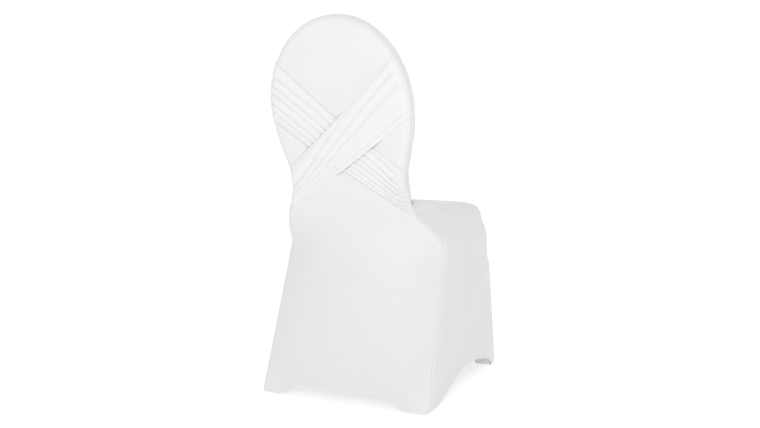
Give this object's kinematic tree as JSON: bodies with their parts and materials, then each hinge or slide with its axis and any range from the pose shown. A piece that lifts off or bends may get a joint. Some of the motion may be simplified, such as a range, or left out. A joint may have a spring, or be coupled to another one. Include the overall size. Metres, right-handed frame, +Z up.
{
  "type": "spandex chair cover",
  "caption": "White stretch-knit cover for a round-backed banquet chair, open underneath, with gathered bands crossed over the rear of its back and foot pockets at the skirt's corners.",
  "frame": {"origin": "on the floor, at the middle of the cover's footprint", "axes": "+Z up; the cover's seat faces -Y and its back leans towards +Y; +X is to the right of someone who looks along +Y"},
  "size_m": [0.46, 0.5906, 0.938],
  "materials": {
    "panel_cloth": "white polyester-elastane knit, taut and matt with a faint satin sheen",
    "band_cloth": "white polyester-elastane knit, gathered in long pleats",
    "foot_pocket_cloth": "white polyester-elastane knit, doubled at the foot pockets"
  },
  "bodies": {
    "root": {"rear_panel": "panel_cloth", "inside_back_panel": "panel_cloth", "seat_panel": "panel_cloth", "front_skirt": "panel_cloth", "side_skirt_right": "panel_cloth", "side_skirt_left": "panel_cloth", "foot_pocket_rear_right": "foot_pocket_cloth", "foot_pocket_rear_left": "foot_pocket_cloth", "foot_pocket_front_right": "foot_pocket_cloth", "foot_pocket_front_left": "foot_pocket_cloth", "cross_band_under": "band_cloth", "cross_band_over": "band_cloth"}
  },
  "joints": []
}
